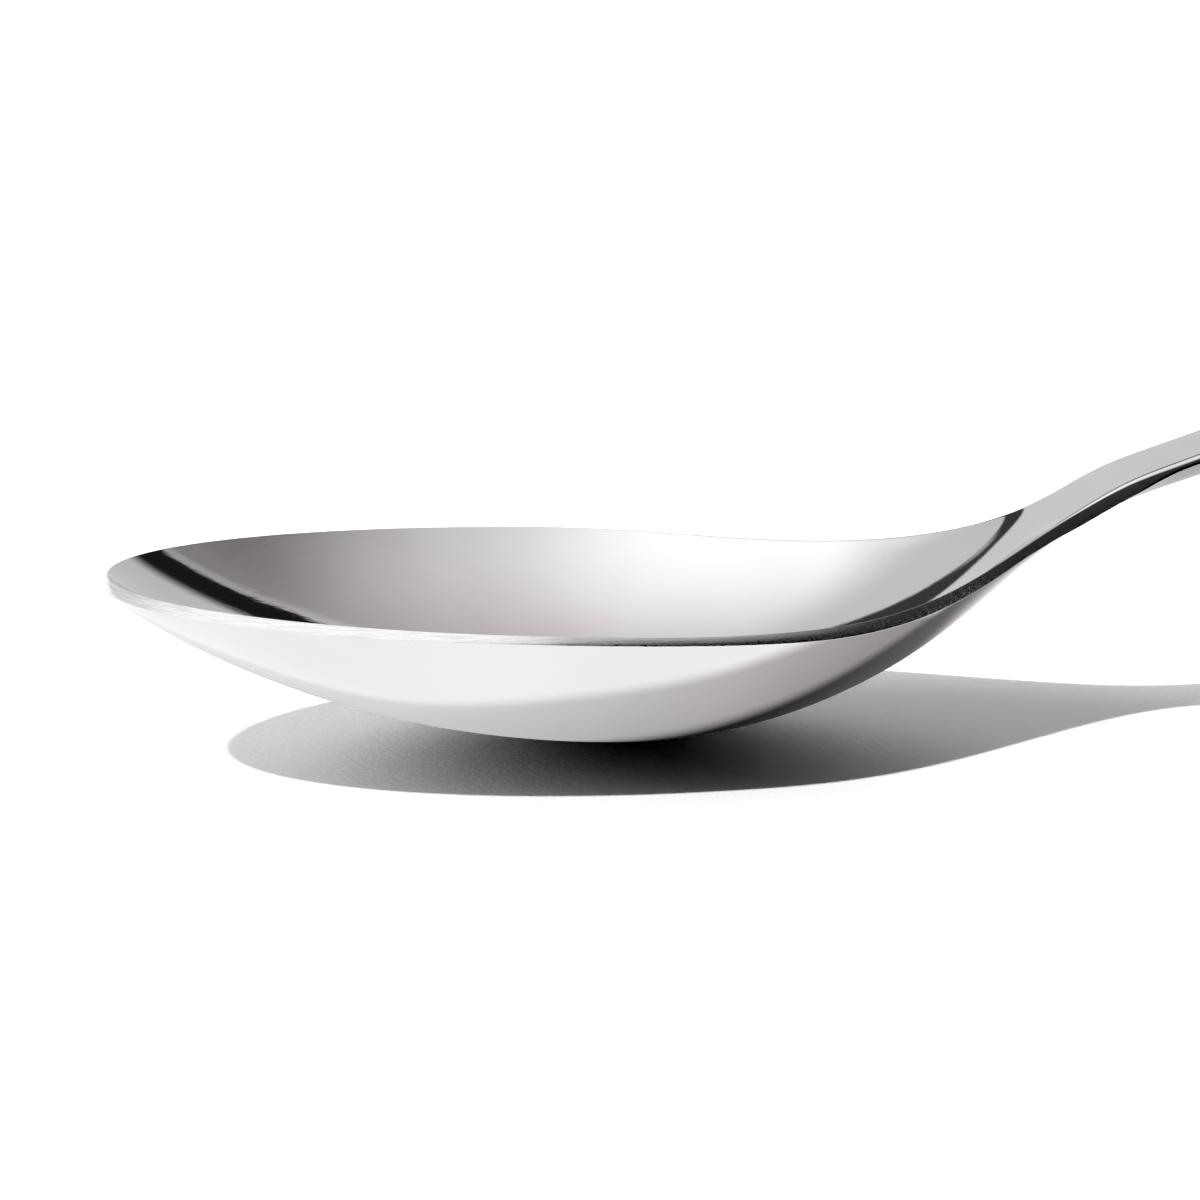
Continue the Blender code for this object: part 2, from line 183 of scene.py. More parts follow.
def stations(s, places, sizes):
    """A size that goes from value to value: the first one plus each difference times its smooth step."""
    size = sizes[0]
    for low, high, first, second in zip(places, places[1:], sizes, sizes[1:]):
        size = size + (second - first) * smooth((s - low) / (high - low))
    return size


def wall(s, across):
    """Metal thickness: the edge's, plus what the middle has more, times one less across squared.

    The edge thins from the tip, grows to the neck and thins again to the stem. The middle is the sheet, and
    grows to the stem's full thickness by one smooth step.
    """
    edge = stations(s, EDGE_PLACES, EDGE_SIZES)
    middle = TIP_WALL + (BOWL_WALL - TIP_WALL) * smooth(s / TIP_TO_WIDEST)
    thickened = smooth((s - S_NECK + THICKENING_BEFORE_NECK) / THICKENING_LENGTH)
    middle = middle + (STEM_THICKNESS - middle) * thickened
    return edge + (middle - edge) * (1.0 - across**2)


def section_power(s):
    """How full the sides are: two at the tip and the heel, more between, by two smooth steps."""
    full = smooth(s / SIDES_FULL_FROM_TIP) - smooth((s - TIP_TO_WIDEST) / (S_HEEL - TIP_TO_WIDEST))
    return END_SECTION_POWER + (SIDE_SECTION_POWER - END_SECTION_POWER) * full


def hollow_face(line, s, y):
    """Points and normals of the upper face: depth times one less the share of the half width to a power.

    The normal is the line's own normal, less the face's slope along s and its slope along y.
    """
    wide = np.maximum(half_width(s), LEAST_WIDTH)
    share = np.clip(y / wide, -1.0, 1.0)
    power = section_power(s)
    shape = np.abs(share) ** power
    n = -depth(s) * (1.0 - shape)
    widening = rate(lambda t: half_width(t) ** 2, s) / (2.0 * wide**2)
    slope_s = -rate(depth, s) * (1.0 - shape) - depth(s) * power * shape * widening
    slope_s = slope_s / (1.0 - n * line.bend_at(s))
    slope_y = depth(s) * power * np.sign(share) * np.abs(share) ** (power - 1.0) / wide
    angle = line.angle_at(s)
    normal = np.stack(
        [-slope_s * np.cos(angle) - np.sin(angle), -slope_y, -slope_s * np.sin(angle) + np.cos(angle)],
        axis=-1,
    )
    normal /= np.linalg.norm(normal, axis=-1, keepdims=True)
    return line.place(s, y, n), normal, share


print(f"widest rim {2000 * half_width(TIP_TO_WIDEST):.1f} mm, neck {2000 * half_width(S_NECK):.1f} mm")

# %% [markdown]
# ## Setting the line on the table
# The bowl's lowest place is the origin, and the handle arches until its tail touches the table as well. The
# arch could be typed in as an angle, but it follows from the other sizes, so it is searched for: the tail is
# tried too high and too low in turn until it rests.

# %% The handle's oval, and the arch that brings its tail down
MOUTH_WIDTH, MOUTH_HEIGHT = 0.0125, 0.0082
HANDLE_WIDTH, HANDLE_HEIGHT = 0.0210, 0.0120
MOUTH_TO_WIDEST = 0.1000
TAIL_ROUND = 0.0140
TAIL_REST_CUT = 0.0004
HANDLE_SECTION_POWER = 2.3
FIT_CLEARANCE = 0.0003
PAST_TIP = 0.001
HALVINGS = 50


def handle_half_sizes(s, inset):
    """Half width and half height: smooth growth from the mouth, less the inset, closed by a round dome."""
    grown = smooth((s - S_MOUTH) / MOUTH_TO_WIDEST)
    wide = 0.5 * (MOUTH_WIDTH + (HANDLE_WIDTH - MOUTH_WIDTH) * grown) - inset
    high = 0.5 * (MOUTH_HEIGHT + (HANDLE_HEIGHT - MOUTH_HEIGHT) * grown) - inset
    dome = np.clip(1.0 - (S_END - inset - s) / (TAIL_ROUND - inset), 0.0, 1.0)
    close = np.sqrt(1.0 - dome**2)
    return wide * close, high * close


def lower_face_height(line):
    """Height and place of the bowl's lowest point, one wall under the hollow along the keel."""
    s = np.linspace(PAST_TIP, S_NECK, LINE_STEPS)
    points, normal, _ = hollow_face(line, s, np.zeros_like(s))
    under = points - normal * wall(s, np.zeros_like(s))[:, None]
    return under[under[:, 2].argmin()]


def resting_line():
    """The line with the bowl's lowest place at the origin and the arch halved in until the tail touches."""
    lowest = lower_face_height(SpoonLine(0.0))
    s = np.linspace(S_MOUTH, S_END, LINE_STEPS)
    high = handle_half_sizes(s, 0.0)[1]
    low, top = 0.0, math.pi
    for _ in range(HALVINGS):
        drop = 0.5 * (low + top)
        line = SpoonLine(drop)
        line.x -= lowest[0]
        line.z -= lowest[2] + BOWL_REST_CUT
        tail = line.place(s, 0.0, STEM_MIDDLE - 0.5 * FIT_CLEARANCE - high)[:, 2].min()
        low, top = (drop, top) if tail > -TAIL_REST_CUT else (low, drop)
    return line


line = resting_line()
print(f"the tail points {math.degrees(line.angle[-1]):.1f} degrees, the crest is {line.z.max():.4f} m up")

# %% [markdown]
# ## From a grid of points to a closed mesh
# Each piece is a grid: rings of points, one behind the other. The grid could be built face by face in a loop,
# but arrays are much faster and easier to read. Where a ring shrinks to a line or a point, its doubles merge,
# which closes the piece without any flat lid. A second grid, of distances in metres, becomes the UV map, so
# that polishing lines can follow the metal.

# %% Grid to mesh
MERGE_DISTANCE = 1e-7


def grid_piece(name, rings, distances, ground=None):
    """Quads between neighbouring points of neighbouring rings; each ring closes on itself.

    rings is (rows, columns, 3); distances is (rows, columns + 1, 2), the UV of each corner. ground, if given,
    is (rows, columns): 1 where the metal was ground instead of polished.
    """
    rows, columns = rings.shape[:2]
    row, column = np.meshgrid(np.arange(rows - 1), np.arange(columns), indexing="ij")
    corner_rows = np.stack([row, row + 1, row + 1, row], axis=-1).reshape(-1)
    corner_columns = np.stack([column, column, column + 1, column + 1], axis=-1).reshape(-1)
    mesh = bpy.data.meshes.new(name)
    faces = (corner_rows * columns + corner_columns % columns).reshape(-1, 4)
    mesh.from_pydata(rings.reshape(-1, 3), [], faces.tolist())
    layer = mesh.uv_layers.new(name="metal")
    layer.uv.foreach_set("vector", distances[corner_rows, corner_columns].astype(np.float32).ravel())
    if ground is not None:
        share = mesh.attributes.new("ground", "FLOAT", "POINT")
        share.data.foreach_set("value", ground.astype(np.float32).ravel())

    welded = bmesh.new()
    welded.from_mesh(mesh)
    bmesh.ops.remove_doubles(welded, verts=welded.verts, dist=MERGE_DISTANCE)
    bmesh.ops.recalc_face_normals(welded, faces=welded.faces)
    open_edges = sum(len(edge.link_faces) != 2 for edge in welded.edges)
    welded.to_mesh(mesh)
    welded.free()
    mesh.shade_smooth()
    piece = bpy.data.objects.new(name, mesh)
    bpy.context.scene.collection.objects.link(piece)
    print(f"{name}: {len(mesh.polygons)} faces, {open_edges} open edges")
    return piece


def stand_for(piece, node):
    """Let a finished piece ride on the spoon and stand for its solid, which is hidden."""
    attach(piece, "root")
    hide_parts(node)


def parabola(start, corner, end, share):
    """Rounded corner: a parabola that leaves start towards the corner and arrives at end."""
    return (1 - share) ** 2 * start + 2 * share * (1 - share) * corner + share**2 * end


# %% [markdown]
# ## The head: bowl, neck, stem and tang
# On the real spoon the head is one blank, cut out, pressed and forged. A section straight across would crowd
# at the tip, where the rim itself runs across. So each section here is bent: it leaves the rim square to it
# and sweeps towards the keel, which keeps the ground edge even all the way round. Half a section goes from
# the middle of the hollow out to the rim, over its lip, down the ground edge, round the foot and back
# underneath. Polishing rounds the metal by different amounts: crisp corners round the bowl, soft ones on the
# stem. A bevel could round them all alike, but then the thin bright lines along the rim would be wrong. So
# lip, corner, foot and the slant of the ground face are sizes at a few places, eased between them.

# %% Stations and corners of the head
TANG_LENGTH = 0.0560
CORNER_PLACES = 0.0, 0.0640, 0.0780, 0.1030, 0.1270
CORNER_SIZES = 0.00006, 0.00006, 0.00017, 0.00017, 0.00050
LIP_PLACES = 0.0, 0.0450, 0.0600, 0.1030, 0.1270
LIP_SIZES = 0.00006, 0.00006, 0.00035, 0.00035, 0.00050
FOOT_PLACES = 0.0, 0.1030, 0.1270
FOOT_SIZES = 0.00004, 0.00004, 0.00022
FACE_PLACES = 0.0, 0.0780, 0.1080
FACE_ANGLES = np.radians([20.0, 20.0, 13.0])
FACE_BULGES = 0.07, 0.07, 0.02
TUCK_POWER = 10.0
SUPPORT = 1.3
EDGE_SUPPORT = 1.1
RIM_PROBE = 0.001
NO_LENGTH, LEAST_SPAN = 1e-12, 1e-6
FACE_COLUMNS, CORNER_COLUMNS, EDGE_COLUMNS = 40, 11, 9
TIP_ROWS, BOWL_ROWS, STEM_ROWS, TANG_ROWS = 120, 130, 70, 24

tip_turn = np.linspace(0.0, 0.5 * math.pi, TIP_ROWS)
head_s = np.concatenate(
    [
        TIP_TO_WIDEST * (1.0 - np.cos(tip_turn)),
        np.linspace(TIP_TO_WIDEST, S_NECK, BOWL_ROWS)[1:],
        np.linspace(S_NECK, S_COLLAR, STEM_ROWS)[1:],
        np.linspace(S_COLLAR, S_MOUTH + TANG_LENGTH, TANG_ROWS)[1:],
    ]
)[:, None]


def section(line, rim_s, share):
    """Bent section at rim place rim_s; share is 0 on the keel and 1 at the rim.

    Sideways it is share times the half width. Along the line it shifts by a quarter of the slope of the
    half width squared, times one less share squared, which makes it leave the rim at a right angle.
    """
    shift = 0.25 * rate(lambda t: half_width(t) ** 2, rim_s)
    s = rim_s + shift * (1.0 - share**2)
    return hollow_face(line, s, half_width(rim_s) * share), s


def head_half(line):
    """Half rings of the head: hollow, upper corner, ground edge, lower corner, underside.

    The ground edge is a parabola from the rim's inner edge to the underside. Its middle faces a given angle
    above the level, and its bulge turns it up at the top and down at the foot. The upper corner is a parabola
    that starts a lip's width up the hollow and ends a corner's size down the edge. The underside tucks in to
    the foot by a high power of its share.
    """
    one = np.ones_like(head_s)
    (rim, normal, _), _ = section(line, head_s, one)
    inward = section(line, head_s, (1.0 - RIM_PROBE) * one)[0][0] - rim
    per_share = np.linalg.norm(inward, axis=-1, keepdims=True) / RIM_PROBE
    inward /= np.maximum(np.linalg.norm(inward, axis=-1, keepdims=True), NO_LENGTH)
    corner = stations(head_s, CORNER_PLACES, CORNER_SIZES)[..., None]
    lip = stations(head_s, LIP_PLACES, LIP_SIZES)[..., None]
    toe = stations(head_s, FOOT_PLACES, FOOT_SIZES)[..., None]
    faces = stations(head_s, FACE_PLACES, FACE_ANGLES)[..., None]
    bulge = stations(head_s, FACE_PLACES, FACE_BULGES)[..., None]
    thick = wall(head_s, one)[..., None]

    lean = np.arcsin(np.clip(-inward[..., 2:], -1.0, 1.0)) - faces
    foot = rim - normal * thick + inward * thick * np.tan(lean)
    height = np.linalg.norm(foot - rim, axis=-1, keepdims=True)
    facing = -inward * np.cos(lean) - normal * np.sin(lean)
    belly = 0.5 * (rim + foot) + facing * bulge * height
    top_share, toe_share = corner / height, toe / height
    spread = np.linspace(0.0, 1.0, EDGE_COLUMNS)[None, :, None]
    inner_span = 1.0 - EDGE_SUPPORT * (top_share + toe_share)
    between_corners = EDGE_SUPPORT * top_share + inner_span * spread
    edge = parabola(rim, belly, foot, np.concatenate([top_share, between_corners, 1.0 - toe_share], axis=1))

    columns = np.linspace(0.0, 1.0, FACE_COLUMNS)[None, :]

    def shares_to(radius):
        """Shares across a face: even steps to just short of a corner, then the corner's start."""
        reach = (radius / np.maximum(per_share, LEAST_SPAN))[..., 0]
        return np.concatenate([columns * (1.0 - SUPPORT * reach), 1.0 - reach], axis=1)

    upper = section(line, head_s, shares_to(lip))[0][0]
    share = shares_to(toe)
    (above, face_normal, across), s = section(line, head_s, share)
    under = above - face_normal * wall(s, across)[..., None]
    under = under + inward * (thick * np.tan(lean)) * share[..., None] ** TUCK_POWER

    bend = np.linspace(0.0, 1.0, CORNER_COLUMNS)[None, 1:-1, None]
    upper_corner = parabola(upper[:, -1:], rim, edge[:, :1], bend)
    lower_corner = parabola(edge[:, -1:], foot, under[:, -1:], bend)
    return np.concatenate([upper, upper_corner, edge, lower_corner, under[:, ::-1]], axis=1)


print(f"{len(head_s)} rings along the head")


# %% Close the head and put it in the scene
TABLE_EASE = 0.00003


def rest_on_table(points):
    """Lift what is under the table to it: half of z plus the root of z squared and a small ease squared."""
    points = points.copy()
    z = points[..., 2]
    points[..., 2] = 0.5 * (z + np.sqrt(z**2 + TABLE_EASE**2))
    return points


def run_length(rings):
    """Distance along each ring from its first point."""
    step = np.linalg.norm(np.diff(rings, axis=1), axis=-1)
    return np.concatenate([np.zeros((len(rings), 1)), np.cumsum(step, axis=1)], axis=1)


half = head_half(line)
tang_end = np.repeat(half[-1:].mean(axis=1, keepdims=True), half.shape[1], axis=1)
half = rest_on_table(np.concatenate([half, tang_end]))
mirrored = half[:, -2:0:-1] * (1.0, -1.0, 1.0)
round_half = run_length(half)
round_whole = np.concatenate([round_half, 2.0 * round_half[:, -1:] - round_half[:, -2::-1]], axis=1)
along = np.concatenate([head_s, head_s[-1:]])
head_uv = np.stack(np.broadcast_arrays(along, round_whole), axis=-1)
ground = np.zeros(half.shape[1])
ground[FACE_COLUMNS + 1 + CORNER_COLUMNS - 2 :][: EDGE_COLUMNS + 2] = 1.0
ground = np.broadcast_to(np.concatenate([ground, ground[-2:0:-1]]), (len(half), 2 * half.shape[1] - 2))
head = grid_piece("polished_head", np.concatenate([half, mirrored], axis=1), head_uv, ground)
stand_for(head, "spoon_head")

# %% [markdown]
# ## The handle shells
# A hollow handle is two pressed troughs welded along their edges and polished over, so only a hair line of
# the seam is left. Each trough is a half ring outside, a half ring inside, and a domed tail. A solid bar
# would look the same from outside, but the trough is what the handle is.

# %% Two troughs with a hair-line seam
SHELL_WALL = 0.0009
SEAM_GAP = 0.00004
SEAM_DIP, SEAM_WIDTH = 0.00006, 0.00025
LIP_ROUND, LIP_STEPS = 0.00025, np.array([0.0, 0.3, 1.0])
HANDLE_ROWS, DOME_ROWS, RING_COLUMNS = 150, 40, 60


def trough(line, side):
    """Rings of one trough: outer half oval there, inner half oval back.

    The oval's y and n are a cosine and a sine to a power. Close to the seam the outer face dips by a bell
    curve of its height. The first rings gather on the middle of the wall, which rounds the mouth's lip.
    """
    dome_start = S_END - TAIL_ROUND
    mouth = np.concatenate([[S_MOUTH], S_MOUTH + LIP_ROUND * LIP_STEPS])
    body = np.concatenate([mouth, np.linspace(S_MOUTH + 2 * LIP_ROUND, dome_start, HANDLE_ROWS)])
    lip = np.zeros(len(body) + DOME_ROWS - 1)
    lip[: len(mouth)] = np.concatenate([[0.5 * SHELL_WALL], LIP_ROUND * LIP_STEPS[::-1]])
    turn = np.linspace(0.0, 0.5 * math.pi, DOME_ROWS)[1:]
    eased = 0.5 - 0.5 * np.cos(np.linspace(0.0, math.pi, RING_COLUMNS))
    angle = math.pi * eased[None, :]
    power = 2.0 / HANDLE_SECTION_POWER
    rings = []
    for face_inset, direction in ((0.0, 1), (SHELL_WALL, -1)):
        s = np.concatenate([body, dome_start + (TAIL_ROUND - face_inset) * np.sin(turn)])
        wide, high = handle_half_sizes(s, face_inset)
        shrink = lip if direction > 0 else -lip
        wide, high = (np.maximum(size - shrink, 0.0)[:, None] for size in (wide, high))
        y = wide * np.sign(np.cos(angle)) * np.abs(np.cos(angle)) ** power
        n = high * np.abs(np.sin(angle)) ** power
        if direction > 0:
            dip = SEAM_DIP * np.exp(-((n / SEAM_WIDTH) ** 2)) * (1.0 - 2.0 * lip[:, None] / SHELL_WALL)
            y = y - np.sign(y) * np.minimum(dip, np.abs(y))
        points = line.place(s[:, None], y, side * (n + 0.5 * SEAM_GAP) + STEM_MIDDLE)
        rings.append(points[:, ::direction])
    return np.concatenate(rings, axis=1), s[:, None]


shells = []
for node, side in (("handle_upper_shell", 1.0), ("handle_lower_shell", -1.0)):
    rings, s = trough(line, side)
    rings = rest_on_table(rings)
    closed = np.concatenate([rings, rings[:, :1]], axis=1)
    uv = np.stack(np.broadcast_arrays(s, run_length(closed)), axis=-1)
    shell = grid_piece("satin_" + node, rings, uv)
    stand_for(shell, node)
    shells.append(shell)

# %% [markdown]
# ## The collar
# The collar hides the joint between the stem and the hollow handle. It is a small turned and filed ring: a
# rounded nose at the stem, a waist that swells to the handle's mouth, and a spigot that plugs the mouth. Its
# inside is the stem's own section, a little larger. It could be joined from three turned pieces, but one
# profile carried along the line leaves no steps in the polish.

# %% A collar with a rounded nose
COLLAR_LIP = 0.0010
SPIGOT_LENGTH = 0.0060
NOSE_ROUND = 0.0006
JOINT_GAP = 0.00005
JOINT_ROUND = 0.0002
COLLAR_COLUMNS = 120
NOSE_ROWS, WAIST_ROWS = 10, 40


def oval_ring(line, s, wide, high, columns):
    """Whole oval rings round the middle of the stem: a cosine and a sine to a power."""
    angle = np.linspace(0.0, 2.0 * math.pi, columns, endpoint=False)[None, :]
    power = 2.0 / HANDLE_SECTION_POWER
    y = wide[:, None] * np.sign(np.cos(angle)) * np.abs(np.cos(angle)) ** power
    n = high[:, None] * np.sign(np.sin(angle)) * np.abs(np.sin(angle)) ** power
    return line.place(s[:, None], y, n + STEM_MIDDLE)


def collar_rings(line):
    """Nose, waist and spigot outside; the slot back inside. Sizes swell as the sine of a quarter turn."""
    seat = S_MOUTH - JOINT_GAP
    turn = np.linspace(0.0, 0.5 * math.pi, NOSE_ROWS)
    nose = S_COLLAR + NOSE_ROUND * (1.0 - np.cos(turn))
    nose_in = NOSE_ROUND * (1.0 - np.sin(turn))
    waist = np.linspace(S_COLLAR + NOSE_ROUND, seat - JOINT_ROUND, WAIST_ROWS)[1:]
    end = seat - JOINT_ROUND * (1.0 - np.sin(turn))[1:]
    end_in = JOINT_ROUND * (1.0 - np.cos(turn))[1:]
    s = np.concatenate([nose, waist, end])
    inset = np.concatenate([nose_in, np.zeros(len(waist)), end_in])
    swell = np.sin(0.5 * math.pi * (s - S_COLLAR) / (seat - S_COLLAR))
    outer = []
    for stem, mouth in ((STEM_WIDTH, MOUTH_WIDTH), (STEM_THICKNESS, MOUTH_HEIGHT)):
        front = 0.5 * stem + FIT_CLEARANCE + COLLAR_LIP
        plug = 0.5 * mouth - SHELL_WALL - FIT_CLEARANCE
        outer.append(np.concatenate([front + (0.5 * mouth - front) * swell - inset, [plug, plug]]))
    s = np.concatenate([s, [seat, S_MOUTH + SPIGOT_LENGTH]])
    outside = oval_ring(line, s, outer[0], outer[1], COLLAR_COLUMNS)
    inside_s = np.linspace(S_MOUTH + SPIGOT_LENGTH, S_COLLAR, NOSE_ROWS)
    slot_wide = np.full(NOSE_ROWS, 0.5 * STEM_WIDTH + JOINT_GAP)
    slot_high = np.full(NOSE_ROWS, 0.5 * STEM_THICKNESS + JOINT_GAP)
    inside = oval_ring(line, inside_s, slot_wide, slot_high, COLLAR_COLUMNS)
    return np.concatenate([outside, inside, outside[:1]]), np.concatenate([s, inside_s, s[:1]])[:, None]


rings, s = collar_rings(line)
closed = np.concatenate([rings, rings[:, :1]], axis=1)
uv = np.stack(np.broadcast_arrays(s, run_length(closed)), axis=-1)
collar = grid_piece("polished_collar", rings, uv)
stand_for(collar, "neck_collar")

# %% [markdown]
# ## Writing materials as sums
# A material is a graph of nodes. It can be wired by hand, but formulas are easier to read and to change. The
# small class below holds one socket. Adding or multiplying two of them adds the Math node that does it.

# %% A socket that can be calculated with
class Socket:
    """One output in a node tree; plus, minus, times and divide on it add Math nodes."""

    def __init__(self, tree, socket):
        self.tree, self.socket = tree, socket

    def node(self, kind, settings=None, inputs=None, output=0):
        """Add a node of a kind, set it up, give its sockets values or links, and hold one output."""
        made = self.tree.nodes.new("ShaderNode" + kind)
        for name, setting in (settings or {}).items():
            setattr(made, name, setting)
        for name, value in (inputs or {}).items():
            if isinstance(value, Socket):
                self.tree.links.new(value.socket, made.inputs[name])
            else:
                made.inputs[name].default_value = value
        return Socket(self.tree, made.outputs[output])

    def math(self, operation, *values):
        """A Math node with its values or links in order."""
        return self.node("Math", {"operation": operation}, dict(enumerate(values)))

    def __add__(self, other):
        return self.math("ADD", self, other)

    def __sub__(self, other):
        return self.math("SUBTRACT", self, other)

    def __rsub__(self, other):
        return self.math("SUBTRACT", other, self)

    def __mul__(self, other):
        return self.math("MULTIPLY", self, other)

    def __truediv__(self, other):
        return self.math("DIVIDE", self, other)

    def __rtruediv__(self, other):
        return self.math("DIVIDE", other, self)

    __radd__, __rmul__ = __add__, __mul__

    def step(self, low, high):
        """0 below low, 1 above high, smooth between; low may be the larger of the two."""
        ends = {"Value": self, "From Min": low, "From Max": high}
        return self.node("MapRange", {"interpolation_type": "SMOOTHSTEP"}, ends)

    def mix(self, first, second):
        """Colour between two colours, by this value."""
        return self.node("Mix", {"data_type": "RGBA"}, {0: self, 6: first, 7: second}, output=2)


def over(under, share, top):
    """What is under, covered by what is on top in its share: under plus share times the difference."""
    return under + share * (top - under)


def empty_material(name):
    """A new material with one Principled shader, and a socket to start from."""
    material = bpy.data.materials.new(name)
    material.use_nodes = True
    shader = material.node_tree.nodes["Principled BSDF"]
    return material, shader, Socket(material.node_tree, None)


def feed(shader, **values):
    """Link sockets to the shader, or set plain numbers and colours on the shader itself."""
    for name, value in values.items():
        target = shader.inputs[name.replace("_", " ")]
        if isinstance(value, Socket):
            value.tree.links.new(value.socket, target)
        else:
            target.default_value = value


print("materials can be written as sums now")

# %% [markdown]
# ## Polished steel
# The head was polished on a cloth wheel, along its length. That leaves hair-fine lines, which fray the edges
# of every reflection, and a slight haze. Near the tip, where a spoon scrapes the dish, the lines are deeper.
# The rim's edge was ground on a belt, which left level scratches, lighter and darker in turn, and small pits.
# They end where the stem begins. A photograph of brushed steel could be pasted on, but it would repeat and
# stretch. A noise that is long in one direction and short in the other gives lines without end.

# %% Head steel: fine polish, ground edge
STEEL, STEEL_DULL = (0.778, 0.766, 0.769, 1.0), (0.738, 0.726, 0.729, 1.0)
EDGE_BRIGHT, EDGE_DULL = (0.826, 0.814, 0.817, 1.0), (0.690, 0.679, 0.682, 1.0)
POLISH_LONG, POLISH_SHORT, RUB_LONG, RUB_SHORT = 70.0, 2600.0, 45.0, 1100.0
CLOUD_SCALE, PIT_SCALE, BELT_SCALE, BELT_FLATNESS = 60.0, 5200.0, 320.0, 24.0
WORN_START, WORN_END, BELT_END = (-0.042, -0.037), (-0.022, -0.029), (0.043, 0.036)
POLISH_SHARE, WORN_SHARE, BELT_SHARE, PIT_SHARE = 0.2, 2.5, 0.35, 1.6
LINE_DEPTH = 4e-6
HAZE, HAZE_LINES, HAZE_CLOUD, EDGE_HAZE, BELT_HAZE = 0.02, 0.04, 0.02, 0.05, 0.14


def lines(start, place, long, short, detail=3.0):
    """Noise stretched into lines: long and short are the repeats per metre along and across them."""
    scaled = start.node("VectorMath", {"operation": "MULTIPLY"}, {0: place, 1: (long, short, short)})
    return start.node("TexNoise", None, {"Vector": scaled, "Scale": 1.0, "Detail": detail, "Roughness": 0.6})


def head_steel():
    """Steel with polishing lines along the spoon, level belt lines on the ground edge, and a cloudy haze.

    The bump's height is the polished and rubbed lines off the edge, and the belt's lines and pits on it. The
    rubbed lines count where the haze is dense, and more where the tip is worn.
    """
    material, shader, start = empty_material("head_steel")
    place = start.node("TexCoord", output=3)
    run = start.node("UVMap", {"uv_map": "metal"})
    along = start.node("SeparateXYZ", None, {0: place})
    ground = start.node("Attribute", {"attribute_name": "ground"}, output=2)
    polish = lines(start, place, POLISH_LONG, POLISH_SHORT)
    rub = lines(start, place, RUB_LONG, RUB_SHORT, 2.0)
    level = start.node("VectorMath", {"operation": "MULTIPLY"}, {0: place, 1: (1.0, 1.0, BELT_FLATNESS)})
    belt = start.node("TexNoise", None,
                      {"Vector": level, "Scale": BELT_SCALE, "Detail": 3.0, "Roughness": 0.6})
    pits = start.node("TexNoise", None, {"Vector": run, "Scale": PIT_SCALE, "Detail": 2.0}).step(0.62, 0.76)
    cloud = start.node("TexNoise", None, {"Vector": place, "Scale": CLOUD_SCALE, "Detail": 2.0})

    worn = along.step(*WORN_START) * along.step(*WORN_END)
    rubbed = rub * (cloud.step(0.40, 0.60) + WORN_SHARE * worn)
    belted = ground * along.step(*BELT_END)
    off_edge = (POLISH_SHARE * polish + rubbed) * (1.0 - ground)
    height = off_edge + (BELT_SHARE * belt + PIT_SHARE * pits) * belted
    bump = start.node("Bump", None, {"Height": height, "Strength": 1.0, "Distance": LINE_DEPTH})
    face = cloud.step(0.3, 0.75).mix(STEEL_DULL, STEEL)
    edge = belt.step(0.35, 0.6).mix(EDGE_DULL, EDGE_BRIGHT)
    haze = HAZE + HAZE_LINES * polish + HAZE_CLOUD * cloud
    feed(shader, Metallic=1.0, Base_Color=belted.mix(face, edge), Normal=bump,
         Roughness=haze + EDGE_HAZE * ground + BELT_HAZE * belt * belted)
    return material


head.data.materials.append(head_steel())
print("the head is polished steel")

# %% [markdown]
# ## Satin steel, collar steel and pin wire
# The handle is satin: the same steel, rubbed along its length with a coarser cloth. The collar was turned and
# polished, so its lines run round it. The pins are plain drawn wire. Each could have a material of its own,
# but all three are lines on steel with other numbers, so one function makes them.

# %% Handle, collar and pins
FINE_SHARE, WIDE_SHARE = 0.7, 0.3
WIDE_LONG, WIDE_SHORT = 0.3, 0.15
DULLED = 0.9
SMOOTH_HAZE, ROUGH_HAZE = 0.7, 0.6


def lined_steel(name, place_from, stretch, haze, depth, tint):
    """Steel with lines: place_from gives the coordinates, stretch the repeats per metre along each axis.

    Fine and wide lines are added by their shares. They bend the surface by depth, and change tint and haze.
    """
    material, shader, start = empty_material(name)
    place = place_from(start)
    fine = lines(start, place, *stretch)
    wide = lines(start, place, WIDE_LONG * stretch[0], WIDE_SHORT * stretch[1], 2.0)
    rub = FINE_SHARE * fine + WIDE_SHARE * wide
    bump = start.node("Bump", None, {"Height": rub, "Strength": 1.0, "Distance": depth})
    dull = tuple(DULLED * value for value in tint[:3]) + (1.0,)
    feed(shader, Metallic=1.0, Base_Color=rub.step(0.3, 0.7).mix(dull, tint), Normal=bump,
         Roughness=haze * (SMOOTH_HAZE + ROUGH_HAZE * rub))
    return material


def metal_run(start):
    """Distances along and round the metal, from the UV map."""
    return start.node("UVMap", {"uv_map": "metal"})


def object_place(start):
    """The place in the spoon's own frame."""
    return start.node("TexCoord", output=3)


def round_run(start):
    """The metal run with its two axes changed over, so that lines go round the piece."""
    along, around = (start.node("SeparateXYZ", None, {0: metal_run(start)}, output=axis) for axis in (0, 1))
    return start.node("CombineXYZ", None, {0: around, 1: along})


satin = lined_steel("handle_satin_steel", metal_run, (60.0, 5000.0), 0.24, 1.6e-6, (0.72, 0.713, 0.70, 1.0))
turned = lined_steel("collar_turned_steel", round_run, (80.0, 4000.0), 0.12, 1.0e-6, (0.76, 0.75, 0.735, 1.0))
wire = lined_steel("pin_drawn_wire", object_place, (2500.0, 200.0), 0.35, 1.2e-6, (0.60, 0.595, 0.585, 1.0))
for piece in shells:
    piece.data.materials.append(satin)
collar.data.materials.append(turned)
for name in ("tang_pin_front", "tang_pin_rear"):
    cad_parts[name].data.materials.clear()
    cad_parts[name].data.materials.append(wire)
print("handle, collar and pins have their steel")

